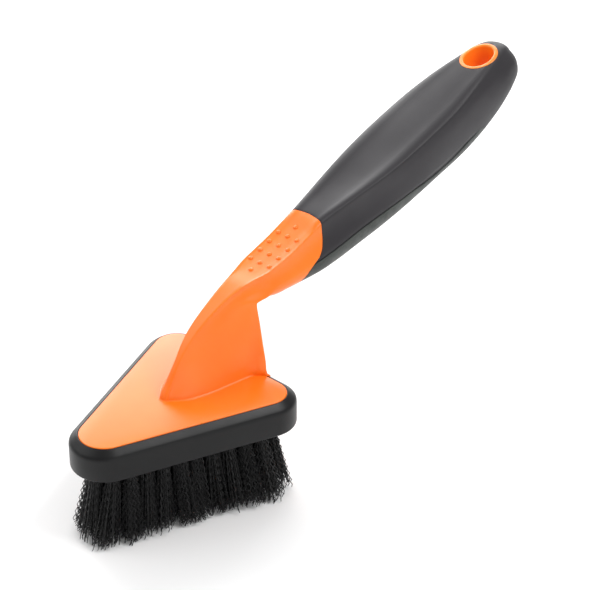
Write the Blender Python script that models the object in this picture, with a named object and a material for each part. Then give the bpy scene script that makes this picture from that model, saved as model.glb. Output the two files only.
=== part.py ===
"""Hand brush for scrubbing tyres: a triangular head with a soft bumper and a field of
crimped filament tufts, on a wedge neck that rises into a long soft-grip handle.

Metres, +Z up. The tips of the filaments stand on Z = 0, +X runs from the nose of the
head to the tail of the handle, and Y = 0 is the plane of symmetry. The origin is the
middle of the overall box, on the ground.
"""

import math
import random

import bmesh
import bpy
from mathutils import Matrix, Vector

# Clearances
GAP = 0.0003
OVERRUN = 0.004

# Head: a triangle with rounded corners, measured to its sharp corners
PLATE_LENGTH = 0.1032
PLATE_HALF_BASE = 0.0392
NOSE_RADIUS = 0.0109
HEEL_RADIUS = 0.0090
BUMPER_WALL = 0.0040
BUMPER_HEIGHT = 0.0140
BUMPER_TOP_FLAT = 0.0003
BUMPER_FOOT_ROUND = 0.0008
UNDERSIDE_RECESS = 0.0012

# Filament tufts
FREE_LENGTH = 0.0330
TUFT_HOLE_RADIUS = 0.0022
TUFT_HOLE_DEPTH = 0.0085
TUFT_INSET = 0.0052
TUFT_HEEL_ROUND = 0.0070
TUFT_RING_SHARE = 0.3663
TUFT_RING_COUNTS = (30, 17, 7)
TUFT_RING_ROUND = 0.0006
FLARE_REACH = 0.0054
FLARE_RING_SHARE = 0.62
FLARE_CURVE_SHARE = 1.3
STRANDS_PER_TUFT = 7
STRAND_WEB = 0.00012
TRIM_DEPTH = 0.0005
RAGGED_LENGTH = 0.0024
LONG_STRANDS = 3
CRIMP = 0.00030
STRAND_LEVEL_SHARES = (0.5, 1.0)
STRAND_SWELL_SHARES = (1.12, 0.82)
TUFT_SPREAD_SHARE = 1.15

# Neck: a wedge that widens from its prow to a flat back, which leans over the heel
NECK_LENGTH = 0.0422
NECK_HALF_BASE = 0.0190
NECK_LEAN = 0.0060
NECK_ROOT = 0.0050
RIDGE_SEAT = 0.0008
RIDGE_HALF_WIDTH = 0.0062
# foot: along, half width; ridge: along, rise, half width
NECK_SHARES = (
    (0.000, 0.060, 0.030, 0.000, 0.18),
    (0.066, 0.190, 0.060, 0.075, 0.32),
    (0.200, 0.385, 0.185, 0.343, 0.28),
    (0.393, 0.580, 0.355, 0.614, 0.38),
    (0.640, 0.715, 0.585, 0.802, 0.52),
    (0.860, 0.830, 0.840, 0.940, 0.72),
    (1.000, 1.000, 1.000, 1.000, 0.96),
)
NECK_SIDE_SHARE = 0.50
NECK_BELLY_SHARE = 0.54

# Handle, in its own frame: along, across and away from a line that climbs to the tail
HANDLE_OVERHANG = 0.0116
HANDLE_RISE = 0.0392
HANDLE_SLOPE_DEG = 18.2
HANDLE_LENGTH = 0.1695
CROWN_HALF_WIDTH = 0.0148
BELLY_HALF_WIDTH = 0.0156
HANDLE_DEPTH = 0.0292
SMALLEST_TANG_SHARE = 0.15
CROWN_DISH = 0.0011
# along the handle, top line, crown width, belly width, depth
HANDLE_SHARES = (
    (-0.125, 0.040, 0.25, 0.25, 0.230),
    (-0.060, 0.025, 0.38, 0.54, 0.355),
    (0.000, 0.010, 0.49, 0.65, 0.500),
    (0.050, -0.005, 0.54, 0.69, 0.620),
    (0.100, -0.010, 0.58, 0.73, 0.710),
    (0.155, 0.010, 0.58, 0.77, 0.780),
    (0.215, 0.030, 0.59, 0.82, 0.850),
    (0.280, 0.028, 0.69, 0.88, 0.910),
    (0.350, 0.018, 0.82, 0.93, 0.960),
    (0.455, 0.000, 0.96, 0.99, 1.000),
    (0.580, -0.010, 1.02, 1.02, 1.010),
    (0.715, -0.020, 0.99, 0.99, 0.990),
    (0.810, -0.016, 0.84, 0.92, 0.920),
    (0.880, -0.022, 0.70, 0.85, 0.820),
    (0.935, -0.045, 0.57, 0.76, 0.705),
    (0.975, -0.110, 0.37, 0.60, 0.540),
    (0.994, -0.210, 0.19, 0.38, 0.345),
    (1.000, -0.290, 0.08, 0.18, 0.165),
)
# share of the crown width, share of the belly width, share of the depth
SECTION_SHARES = (
    (0.00, 0.00, 0.000),
    (0.50, 0.00, 0.000),
    (0.90, 0.00, 0.000),
    (1.00, 0.00, 0.035),
    (0.86, 0.10, 0.170),
    (0.40, 0.52, 0.330),
    (0.05, 0.94, 0.500),
    (0.00, 1.00, 0.620),
    (0.00, 0.94, 0.760),
    (0.00, 0.72, 0.900),
    (0.00, 0.36, 0.980),
    (0.00, 0.00, 1.000),
)

# Grip: two soft shells over the tang
GRIP_WALL = 0.0026
TANG_STATION = 3
SEAM_X = 0.0368
SEAM_SWEEP = 0.0500
SEAM_ROUND = 0.0095
SEAM_STEPS = 8
PAD_LINE_SHARE = 0.575
PAD_LINE_DROP_SHARE = 0.308
PAD_LINE_TAIL = 0.0365
PAD_LINE_STEPS = 9

# Hang hole: an oval eye that belongs to the tang
EYE_TAIL = 0.0173
EYE_HALF_LENGTH = 0.0076
EYE_HALF_WIDTH = 0.0060
EYE_WALL = 0.0016
EYE_SEGMENTS = 24

# Thumb rest: raised dots in a staggered patch
DOT_RADIUS = 0.00115
DOT_HEIGHT = 0.00070
DOT_ROOT = 0.0010
DOT_PITCH = 0.0060
DOT_COLUMN = 0.0053
DOT_START = 0.0038
DOT_ROWS = 4
DOT_SEGMENTS = 8
DOT_TOP_SHARE = 0.50
DOT_END_SHARE = 0.78

# Facets
NOSE_STEPS = 9
HEEL_STEPS = 7
ROUND_SEGMENTS = 3
SMOOTH_ANGLE_DEG = 35
FACING_SHARE = 0.9

# Heights above the ground
HEAD_BOTTOM = FREE_LENGTH
HEAD_TOP = FREE_LENGTH + BUMPER_HEIGHT
BLOCK_BOTTOM = HEAD_BOTTOM + UNDERSIDE_RECESS
RIDGE_RISE = HANDLE_RISE - RIDGE_SEAT

# Where the handle's frame and the neck's prow lie, from the sharp corner of the nose
HANDLE_X = PLATE_LENGTH + HANDLE_OVERHANG
NECK_PROW_X = PLATE_LENGTH - NECK_LENGTH

ORANGE = (1.00, 0.21, 0.02, 1)
CHARCOAL = (0.11, 0.11, 0.115, 1)
GREY_GREEN = (0.15, 0.16, 0.155, 1)
BUMPER_BLACK = (0.035, 0.035, 0.037, 1)
FILAMENT_BLACK = (0.012, 0.012, 0.013, 1)
SATIN, SOFT, GRAINED, RUBBERY, WIRY = 0.42, 0.55, 0.6, 0.5, 0.45


def clear_scene():
    for obj in list(bpy.data.objects):
        bpy.data.objects.remove(obj, do_unlink=True)


def new_collection(name, is_cutters=False):
    collection = bpy.data.collections.new(name)
    bpy.context.scene.collection.children.link(collection)
    collection.hide_render = is_cutters
    return collection


def plastic(name, colour, roughness):
    material = bpy.data.materials.new(name)
    material.use_nodes = True
    shader = material.node_tree.nodes["Principled BSDF"]
    shader.inputs["Base Color"].default_value = colour
    shader.inputs["Roughness"].default_value = roughness
    shader.inputs["Metallic"].default_value = 0
    material.diffuse_color = colour
    return material


def object_from(bm, name, collection, material=None, parent=None):
    bmesh.ops.recalc_face_normals(bm, faces=bm.faces)
    mesh = bpy.data.meshes.new(name)
    bm.to_mesh(mesh)
    bm.free()
    obj = bpy.data.objects.new(name, mesh)
    collection.objects.link(obj)
    obj.parent = parent
    if material:
        mesh.materials.append(material)
        mesh.shade_smooth()
        mesh.set_sharp_from_angle(angle=math.radians(SMOOTH_ANGLE_DEG))
    else:
        obj.hide_render = True
        obj.display_type = "WIRE"
    return obj


def combine(target, other, operation):
    modifier = target.modifiers.new(f"{operation.lower()}_{other.name}", "BOOLEAN")
    modifier.operation = operation
    modifier.object = other
    modifier.solver = "EXACT"
    return modifier


def loft(rings):
    """A closed skin over rings of equally many points, capped at both ends."""
    bm = bmesh.new()
    loops = [[bm.verts.new(point) for point in ring] for ring in rings]
    count = len(loops[0])
    for lower, upper in zip(loops, loops[1:]):
        for i in range(count):
            j = (i + 1) % count
            bm.faces.new((lower[i], lower[j], upper[j], upper[i]))
    bm.faces.new(loops[0][::-1])
    bm.faces.new(loops[-1])
    return bm


def prism(outline, low, high, axis="Z"):
    """A flat outline pushed through from low to high along Z, or along Y for a side view."""
    if axis == "Z":
        rings = [[(x, y, level) for x, y in outline] for level in (low, high)]
    else:
        rings = [[(x, level, z) for x, z in outline] for level in (low, high)]
    return loft(rings)


def arc(centre, radius, start, end, steps):
    for i in range(steps + 1):
        angle = start + (end - start) * i / steps
        yield (centre[0] + radius * math.cos(angle), centre[1] + radius * math.sin(angle))


def head_outline(inset, nose_radius, heel_radius):
    """The head's rounded triangle, moved in by inset, from the nose round by -Y."""
    half_angle = math.atan2(PLATE_HALF_BASE, PLATE_LENGTH)
    nose_x = inset / math.sin(half_angle) + nose_radius / math.sin(half_angle)
    heel_x = PLATE_LENGTH - inset - heel_radius
    heel_y = (PLATE_LENGTH * math.sin(half_angle) - inset) / math.cos(half_angle)
    heel_y -= (inset + heel_radius) * math.tan(half_angle)
    heel_y -= heel_radius / math.cos(half_angle)
    side = math.pi / 2 + half_angle
    points = list(arc((nose_x, 0), nose_radius, math.pi, 2 * math.pi - side, NOSE_STEPS))
    points += arc((heel_x, -heel_y), heel_radius, 2 * math.pi - side, 2 * math.pi, HEEL_STEPS)
    return points + [(x, -y) for x, y in reversed(points[1:])]


def plate_outline(outset=0.0):
    return head_outline(-outset, NOSE_RADIUS + outset, HEEL_RADIUS + outset)


def evenly_along(outline, count):
    """Points at equal steps round a closed outline, the first at its start."""
    closed = [Vector(point) for point in outline + outline[:1]]
    lengths = [(b - a).length for a, b in zip(closed, closed[1:])]
    step = sum(lengths) / count
    for i in range(count):
        left = i * step
        index = 0
        while left > lengths[index]:
            left -= lengths[index]
            index += 1
        yield closed[index].lerp(closed[index + 1], left / lengths[index])


def tuft_ring_step():
    """How far the rings lie apart, as a share of the room inside the outermost one."""
    sharp_side = math.hypot(PLATE_LENGTH, PLATE_HALF_BASE)
    inner_radius = PLATE_LENGTH * PLATE_HALF_BASE / (PLATE_HALF_BASE + sharp_side)
    return (inner_radius - TUFT_INSET) * TUFT_RING_SHARE


def tuft_ring(ring, count, flare):
    """The places of one ring of tufts, moved out by flare."""
    inset = TUFT_INSET + ring * tuft_ring_step() - flare
    nose = max(NOSE_RADIUS - inset, TUFT_RING_ROUND)
    heel = max(TUFT_HEEL_ROUND - ring * tuft_ring_step(), TUFT_RING_ROUND) + flare
    return list(evenly_along(head_outline(inset, nose, heel), count))


def tuft_places():
    """For each tuft, the middle of its root and of its spread tips."""
    for ring, count in enumerate(TUFT_RING_COUNTS):
        flare = FLARE_REACH * FLARE_RING_SHARE**ring
        yield from zip(tuft_ring(ring, count, 0.0), tuft_ring(ring, count, flare))


def handle_section(station, inward=0.0):
    """One section across the handle, as (along, across, up) points. inward thins it."""
    along, top, crown, belly, depth = station
    s = along * (HANDLE_LENGTH - inward)
    crown_width = crown * CROWN_HALF_WIDTH
    belly_width = belly * BELLY_HALF_WIDTH
    height = depth * HANDLE_DEPTH
    middle = top * HANDLE_DEPTH - height / 2
    narrow = max(1 - inward / belly_width, SMALLEST_TANG_SHARE)
    flat = max(1 - 2 * inward / height, SMALLEST_TANG_SHARE)
    half = []
    for crown_share, belly_share, depth_share in SECTION_SHARES:
        y = crown_share * crown_width + belly_share * belly_width
        dish = CROWN_DISH * depth * max(1 - y / crown_width, 0) * (depth_share == 0)
        z = height * (0.5 - depth_share) - dish
        half.append((y * narrow, middle + z * flat))
    right = [(s, y, z) for y, z in half]
    return right + [(s, -y, z) for y, z in reversed(half[1:-1])]


def handle_form(inward=0.0, first=0):
    return loft([handle_section(station, inward) for station in HANDLE_SHARES[first:]])


def handle_reach():
    """How far the tail lies from the sharp corner of the nose, along X."""
    slope = math.radians(HANDLE_SLOPE_DEG)
    points = [point for station in HANDLE_SHARES for point in handle_section(station)]
    return max(HANDLE_X + s * math.cos(slope) - z * math.sin(slope) for s, _, z in points)


def crown_height(s):
    """The height of the middle of the crown at s, in the handle's frame."""
    middles = [handle_section(station)[0] for station in HANDLE_SHARES]
    for (s0, _, z0), (s1, _, z1) in zip(middles, middles[1:]):
        if s0 <= s <= s1:
            return z0 + (z1 - z0) * (s - s0) / (s1 - s0)
    return middles[-1][2]


def ahead_of_seam(offset=0.0):
    """Side view of everything on the head's side of the seam, which sweeps back below."""
    line = []
    for i in range(SEAM_STEPS + 1):
        share = i / SEAM_STEPS
        line.append((SEAM_X + offset - SEAM_SWEEP * share**2, -share * HANDLE_DEPTH))
    top, low, far = HANDLE_DEPTH, -2 * HANDLE_DEPTH, -HANDLE_LENGTH
    return [(far, top), (line[0][0], top)] + line + [(line[-1][0], low), (far, low)]


def inside_seam_arch(offset=0.0):
    """Plan of the same space: seen from above the seam is an arch over the crown."""
    line = []
    for i in range(2 * SEAM_STEPS + 1):
        share = i / SEAM_STEPS - 1
        reach = SEAM_X + offset - SEAM_ROUND * (share * BELLY_HALF_WIDTH / CROWN_HALF_WIDTH) ** 2
        line.append((reach, share * (BELLY_HALF_WIDTH + OVERRUN)))
    return [(-HANDLE_LENGTH, line[0][1])] + line + [(-HANDLE_LENGTH, line[-1][1])]


def head_side_of_seam(name, cutters, handle, offset=0.0):
    space = object_from(side_prism(ahead_of_seam(offset)), name, cutters, parent=handle)
    plan = prism(inside_seam_arch(offset), -2 * HANDLE_DEPTH, HANDLE_DEPTH)
    combine(space, object_from(plan, f"{name}_arch", cutters, parent=handle), "INTERSECT")
    return space


def below_pad_line(offset=0.0):
    """Side view of the space that the underside pad takes out of the grip."""
    line = []
    for i in range(PAD_LINE_STEPS + 1):
        share = i / PAD_LINE_STEPS
        z = -(PAD_LINE_SHARE + PAD_LINE_DROP_SHARE * share**2) * HANDLE_DEPTH + offset
        line.append((share * (HANDLE_LENGTH - PAD_LINE_TAIL + offset), z))
    low = -2 * HANDLE_DEPTH
    return line + [(line[-1][0], low), (0.0, low)]


def oval(half_length, half_width):
    """The eye's outline, turned by half a segment so that no corner lies on the ridge line."""
    for i in range(EYE_SEGMENTS):
        angle = 2 * math.pi * (i + 0.5) / EYE_SEGMENTS
        along = HANDLE_LENGTH - EYE_TAIL + half_length * math.cos(angle)
        yield (along, half_width * math.sin(angle))


def eye_prism(growth):
    outline = list(oval(EYE_HALF_LENGTH + growth, EYE_HALF_WIDTH + growth))
    return prism(outline, -2 * HANDLE_DEPTH, HANDLE_DEPTH)


def neck_form():
    """The wedge between the head and the handle, as sections from the prow to the heel."""
    rings = []
    for foot, foot_width, ridge, rise, ridge_width in NECK_SHARES:
        foot_x = NECK_PROW_X + foot * NECK_LENGTH
        foot_y = foot_width * NECK_HALF_BASE
        ridge_x = NECK_PROW_X + ridge * (NECK_LENGTH + NECK_LEAN)
        ridge_y = min(ridge_width * RIDGE_HALF_WIDTH, foot_y)
        ridge_z = HEAD_TOP + rise * RIDGE_RISE
        side = (
            foot_x + (ridge_x - foot_x) * NECK_SIDE_SHARE,
            foot_y + (ridge_y - foot_y) * NECK_BELLY_SHARE,
            HEAD_TOP + rise * RIDGE_RISE * NECK_SIDE_SHARE,
        )
        half = [
            (foot_x - NECK_LEAN * NECK_ROOT / RIDGE_RISE, foot_y, HEAD_TOP - NECK_ROOT),
            (foot_x, foot_y, HEAD_TOP),
            side,
            (ridge_x, ridge_y, ridge_z),
        ]
        rings.append(half + [(x, -y, z) for x, y, z in reversed(half)])
    return loft(rings)


def side_prism(outline):
    """A side view pushed across the whole brush."""
    return prism(outline, -PLATE_LENGTH, PLATE_LENGTH, "Y")


def bumper_levels():
    """The bumper's outer side from below: how far it stands out of the plate, and height."""
    top_round = BUMPER_WALL - GAP - BUMPER_TOP_FLAT
    quarter = [math.pi / 2 * i / ROUND_SEGMENTS for i in range(ROUND_SEGMENTS + 1)]
    for angle in quarter:
        inward, up = 1 - math.sin(angle), 1 - math.cos(angle)
        yield BUMPER_WALL - BUMPER_FOOT_ROUND * inward, HEAD_BOTTOM + BUMPER_FOOT_ROUND * up
    for angle in quarter:
        inward, down = 1 - math.cos(angle), 1 - math.sin(angle)
        yield BUMPER_WALL - top_round * inward, HEAD_TOP - top_round * down


def build_bumper(parts, cutters, root, material):
    skin = loft([
        [(x, y, level) for x, y in plate_outline(outset)] for outset, level in bumper_levels()
    ])
    bumper = object_from(skin, "head_bumper", parts, material, root)
    hollow = prism(plate_outline(GAP), HEAD_BOTTOM - OVERRUN, HEAD_TOP + OVERRUN)
    combine(bumper, object_from(hollow, "bumper_hollow", cutters, parent=root), "DIFFERENCE")


def tuft_holes():
    """The blind holes for the roots of the tufts, in the underside of the head."""
    bm = bmesh.new()
    height = TUFT_HOLE_DEPTH + OVERRUN
    for root_place, _ in tuft_places():
        middle = Vector((*root_place, BLOCK_BOTTOM + TUFT_HOLE_DEPTH - height / 2))
        bmesh.ops.create_cone(
            bm, cap_ends=True, segments=STRANDS_PER_TUFT, radius1=TUFT_HOLE_RADIUS,
            radius2=TUFT_HOLE_RADIUS, depth=height, matrix=Matrix.Translation(middle),
        )
    return bm


def dot_places():
    """Rows of three dots up the thumb rest, and one more at each end of the middle row."""
    for row in range(DOT_ROWS):
        for column in (-1, 0, 1):
            yield DOT_START + row * DOT_PITCH, column * DOT_COLUMN
    yield DOT_START - DOT_PITCH * DOT_END_SHARE, 0.0
    yield DOT_START + DOT_ROWS * DOT_PITCH, 0.0


def thumb_dots():
    bm = bmesh.new()
    height = DOT_HEIGHT + DOT_ROOT
    for s, y in dot_places():
        rise = CROWN_DISH * abs(y) / CROWN_HALF_WIDTH
        middle = Vector((s, y, crown_height(s) + rise + DOT_HEIGHT - height / 2))
        bmesh.ops.create_cone(
            bm, cap_ends=True, segments=DOT_SEGMENTS, radius1=DOT_RADIUS,
            radius2=DOT_RADIUS * DOT_TOP_SHARE, depth=height, matrix=Matrix.Translation(middle),
        )
    return bm


def build_body(parts, cutters, root, handle, material):
    body = object_from(prism(plate_outline(), BLOCK_BOTTOM, HEAD_TOP), "body", parts, material, root)
    combine(body, object_from(neck_form(), "neck_form", cutters, parent=root), "UNION")

    shank = object_from(handle_form(), "shank_form", cutters, parent=handle)
    combine(shank, head_side_of_seam("shank_limit", cutters, handle), "INTERSECT")
    combine(body, shank, "UNION")

    tang = handle_form(GRIP_WALL + GAP, TANG_STATION)
    combine(body, object_from(tang, "tang_form", cutters, parent=handle), "UNION")

    eye = object_from(eye_prism(EYE_WALL), "eye_form", cutters, parent=handle)
    combine(eye, object_from(handle_form(), "eye_limit", cutters, parent=handle), "INTERSECT")
    combine(body, eye, "UNION")
    combine(body, object_from(eye_prism(0.0), "eye_hole", cutters, parent=handle), "DIFFERENCE")
    combine(body, object_from(thumb_dots(), "thumb_dots", cutters, parent=handle), "UNION")
    combine(body, object_from(tuft_holes(), "tuft_holes", cutters, parent=root), "DIFFERENCE")


def build_grip(parts, cutters, handle, grip_rubber, pad_rubber):
    """The grip and the pad under it: one shell over the tang, parted at the pad's line."""
    grip = object_from(handle_form(), "grip", parts, grip_rubber, handle)
    pad = object_from(handle_form(), "underside_pad", parts, pad_rubber, handle)
    pad_space = object_from(side_prism(below_pad_line()), "pad_space", cutters, parent=handle)
    grip_limit = object_from(side_prism(below_pad_line(GAP)), "grip_limit", cutters, parent=handle)
    combine(grip, grip_limit, "DIFFERENCE")
    combine(pad, pad_space, "INTERSECT")
    for cutter in (
        head_side_of_seam("grip_seam", cutters, handle, GAP),
        object_from(handle_form(GRIP_WALL, TANG_STATION), "grip_hollow", cutters, parent=handle),
        object_from(eye_prism(EYE_WALL + GAP), "grip_eye_hole", cutters, parent=handle),
    ):
        combine(grip, cutter, "DIFFERENCE")
        combine(pad, cutter, "DIFFERENCE")


def tuft_mesh(lean, seed):
    """Strands that splay from a packed root, in a frame at the mouth of the root's hole."""
    rng = random.Random(seed)
    bm = bmesh.new()
    plug = TUFT_HOLE_DEPTH - GAP
    bmesh.ops.create_cone(
        bm, cap_ends=True, cap_tris=True, segments=STRANDS_PER_TUFT,
        radius1=TUFT_HOLE_RADIUS - GAP, radius2=TUFT_HOLE_RADIUS - GAP, depth=plug,
        matrix=Matrix.Translation((0, 0, plug / 2)),
    )
    bm.normal_update()
    roots = [face for face in bm.faces if face.normal.z < -FACING_SHARE]
    bmesh.ops.inset_individual(bm, faces=roots, thickness=STRAND_WEB)
    for number, face in enumerate(roots):
        start = face.calc_center_median()
        ragged = RAGGED_LENGTH * rng.random() if number >= LONG_STRANDS else 0.0
        reach = min(BLOCK_BOTTOM + TRIM_DEPTH - ragged, BLOCK_BOTTOM)
        for level, swell in zip(STRAND_LEVEL_SHARES, STRAND_SWELL_SHARES):
            face = bmesh.ops.extrude_discrete_faces(bm, faces=[face])["faces"][0]
            spread = 1 + TUFT_SPREAD_SHARE * level
            bend = level**FLARE_CURVE_SHARE
            angle = math.tau * rng.random()
            target = Vector((
                start.x * spread + lean.x * bend + CRIMP * math.cos(angle),
                start.y * spread + lean.y * bend + CRIMP * math.sin(angle),
                -reach * level,
            ))
            centre = face.calc_center_median()
            for vert in face.verts:
                vert.co = target + (vert.co - centre) * swell
    return bm


def build_tufts(parts, root, material):
    for number, (place, tip) in enumerate(tuft_places(), start=1):
        bm = tuft_mesh(tip - place, number)
        tuft = object_from(bm, f"tuft_{number:02d}", parts, material, root)
        tuft.location = (*place, BLOCK_BOTTOM)


def main():
    clear_scene()
    parts = new_collection("tire_brush")
    cutters = new_collection("cutters", is_cutters=True)
    root = bpy.data.objects.new("brush_origin", None)
    parts.objects.link(root)
    nose_x = plate_outline(BUMPER_WALL)[0][0]
    root.location.x = -(nose_x + handle_reach()) / 2
    handle = bpy.data.objects.new("handle_frame", None)
    parts.objects.link(handle)
    handle.parent = root
    handle.location = (HANDLE_X, 0, HEAD_TOP + HANDLE_RISE)
    handle.rotation_euler.y = -math.radians(HANDLE_SLOPE_DEG)

    orange = plastic("orange_polypropylene", ORANGE, SATIN)
    grip_rubber = plastic("charcoal_soft_rubber", CHARCOAL, SOFT)
    pad_rubber = plastic("grained_soft_rubber", GREY_GREEN, GRAINED)
    bumper_rubber = plastic("black_bumper_rubber", BUMPER_BLACK, RUBBERY)
    filament = plastic("black_filament", FILAMENT_BLACK, WIRY)
    build_bumper(parts, cutters, root, bumper_rubber)
    build_body(parts, cutters, root, handle, orange)
    build_grip(parts, cutters, handle, grip_rubber, pad_rubber)
    build_tufts(parts, root, filament)


main()
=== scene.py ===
"""The tire brush, modelled in full over its CAD frame.

Shapes are worked out in millimetres in the brush's own frame: x runs from the sharp corner
of the head's nose to the tail, y across, z up from the top of the plate. They are brought
into the row frame, in metres, when each piece is finished.
"""
import math

import bmesh
import bpy
import numpy as np
from mathutils import Matrix, Vector
from mathutils.bvhtree import BVHTree


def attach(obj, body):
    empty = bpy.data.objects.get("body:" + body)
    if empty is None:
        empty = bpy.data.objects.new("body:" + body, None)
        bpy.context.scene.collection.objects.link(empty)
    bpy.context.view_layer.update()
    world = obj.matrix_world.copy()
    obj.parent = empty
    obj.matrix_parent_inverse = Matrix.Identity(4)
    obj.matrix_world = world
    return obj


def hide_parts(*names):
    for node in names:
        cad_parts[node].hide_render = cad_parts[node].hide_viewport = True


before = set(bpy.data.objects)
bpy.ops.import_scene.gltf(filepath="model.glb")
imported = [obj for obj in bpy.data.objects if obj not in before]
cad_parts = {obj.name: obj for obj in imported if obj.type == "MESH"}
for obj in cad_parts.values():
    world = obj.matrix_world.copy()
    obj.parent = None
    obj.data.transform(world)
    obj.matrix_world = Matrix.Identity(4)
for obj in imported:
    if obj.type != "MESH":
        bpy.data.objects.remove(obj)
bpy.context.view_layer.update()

MM = 0.001
# Height of the plate's top, and where the brush's frame starts in the row frame
PLATE_TOP = 47.0
ORIGIN_X = -147.883
INTO_ROW = Matrix.Scale(MM, 4) @ Matrix.Translation((ORIGIN_X, 0, PLATE_TOP))

# Head
PLATE_LENGTH = 103.2
PLATE_HALF_BASE = 39.2
NOSE_RADIUS = 10.9
HEEL_RADIUS = 9.0
NOSE_STEPS = 40
HEEL_STEPS = 24
PLATE_THICK = 12.8
PLATE_EDGE = 0.35
HOLE_RADIUS = 2.25
HOLE_DEPTH = 8.0
BUMPER_WALL = 4.0
BUMPER_HEIGHT = 14.0
BUMPER_GAP = 0.12
BUMPER_FOOT_ROUND = 0.9
# From the top of the bumper's wall over its slope to the plate: how far out, and the level
BUMPER_SLOPE = ((BUMPER_WALL, -4.6), (3.95, -3.85), (3.80, -3.2), (3.52, -2.7), (3.1, -2.27),
                (2.3, -1.62), (1.5, -0.98), (0.95, -0.56), (0.62, -0.32), (0.4, -0.22),
                (0.2, -0.3), (BUMPER_GAP, -0.6))

# Handle, in its own frame: s along it from the neck, y across, w up
HANDLE_X = 114.8
HANDLE_RISE = 39.2
HANDLE_SLOPE = math.radians(18.2)
HANDLE_LENGTH = 169.5
CROWN_HALF_WIDTH = 14.8
BELLY_HALF_WIDTH = 15.6
HANDLE_DEPTH = 29.2
CROWN_DISH = 1.1
# Wall of the grip and pad, half the gap between two mouldings, and the lip that the orange
# turns in there
SHELL = 2.2
SEAM_GAP = 0.07
SEAM_LIP = 1.6

# Shares of the handle's length between which the crown's dish comes in and turns into a
# low rise, the flank begins to swell, and the tail's round section takes over
DISHES = (0.20, 0.33)
RISES = (0.34, 0.70)
RISE_SHARE = 1.75
SWELLS = (0.36, 0.53)
ROUNDS = (0.84, 0.965)

# Hang hole, and its lips from the outer foot to the inside: growth of the oval, and lift
EYE_X = 152.1
EYE_HALF_LENGTH = 7.6
EYE_HALF_WIDTH = 6.0
EYE_WALL = 1.95
EYE_LAP = 0.5
EYE_LIPS = ((EYE_WALL, -0.5), (EYE_WALL, 0.0), (EYE_WALL - 0.12, 0.12), (1.0, 0.16), (0.6, 0.08),
            (0.25, -0.15), (0.06, -0.5), (0.0, -1.0))

# Thumb rest: how far its dish goes down, and where it starts, ends and meets the flanks
THUMB_DEPTH = 0.8
THUMB_FRONT = (-12.0, -1.0)
THUMB_BACK = (26.5, 33.5)
THUMB_SIDES = (1.6, 2.95)

# Dots of the thumb rest: three to a row, and one more at each end
DOT_RADIUS = 1.1
DOT_HEIGHT_SHARE = 0.58
DOT_START = 4.3
DOT_PITCH = 5.85
DOT_COLUMN = 5.25
DOT_ASIDE = 0.3
DOT_ENDS = ((-0.9, 0.6), (27.4, 0.6))

# Stations of the handle: along, top line, crown width, belly width, depth, as shares
HANDLE_SHARES = (
    (0.000, 0.010, 0.490, 0.632, 0.490),
    (0.050, -0.005, 0.538, 0.658, 0.594),
    (0.100, -0.010, 0.556, 0.706, 0.687),
    (0.155, 0.010, 0.565, 0.784, 0.795),
    (0.215, 0.030, 0.593, 0.843, 0.874),
    (0.280, 0.028, 0.689, 0.885, 0.915),
    (0.350, 0.018, 0.804, 0.923, 0.953),
    (0.455, 0.000, 0.948, 0.970, 0.980),
    (0.580, -0.010, 1.000, 1.001, 0.991),
    (0.715, -0.020, 0.955, 1.000, 1.000),
    (0.810, -0.016, 0.803, 0.952, 0.952),
    (0.880, -0.024, 0.664, 0.888, 0.855),
    (0.935, -0.034, 0.566, 0.794, 0.746),
    (0.975, -0.102, 0.404, 0.633, 0.577),
    (0.994, -0.205, 0.235, 0.400, 0.369),
    (1.000, -0.287, 0.120, 0.190, 0.177),
)
# Half a section, from the crown's middle down to the belly's: share of the crown width,
# share of the belly width, share of the depth
SECTION_SHARES = (
    (0.00, 0.00, 0.000),
    (0.50, 0.00, 0.000),
    (0.87, 0.00, 0.000),
    (1.00, 0.00, 0.038),
    (0.86, 0.116, 0.165),
    (0.50, 0.448, 0.320),
    (0.12, 0.850, 0.490),
    (0.04, 0.953, 0.560),
    (0.00, 1.00, 0.625),
    (0.00, 0.94, 0.760),
    (0.00, 0.72, 0.900),
    (0.00, 0.36, 0.980),
    (0.00, 0.00, 1.000),
)
# The same past the middle, where the flank swells under the crown's edge
SWELL_SHARES = SECTION_SHARES[:4] + (
    (0.60, 0.430, 0.165),
    (0.30, 0.735, 0.320),
    (0.08, 0.940, 0.490),
    (0.03, 0.978, 0.560),
    (0.00, 0.993, 0.625),
) + SECTION_SHARES[9:]
# The same at the tail, where the section is round
TAIL_SHARES = (
    (0.00, 0.00, 0.000),
    (0.50, 0.00, 0.006),
    (0.86, 0.00, 0.040),
    (1.00, 0.02, 0.110),
    (0.78, 0.30, 0.210),
    (0.38, 0.69, 0.330),
    (0.10, 0.93, 0.460),
    (0.04, 0.98, 0.530),
    (0.00, 1.00, 0.605),
    (0.00, 0.93, 0.750),
    (0.00, 0.70, 0.890),
    (0.00, 0.36, 0.975),
    (0.00, 0.00, 1.000),
)
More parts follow.
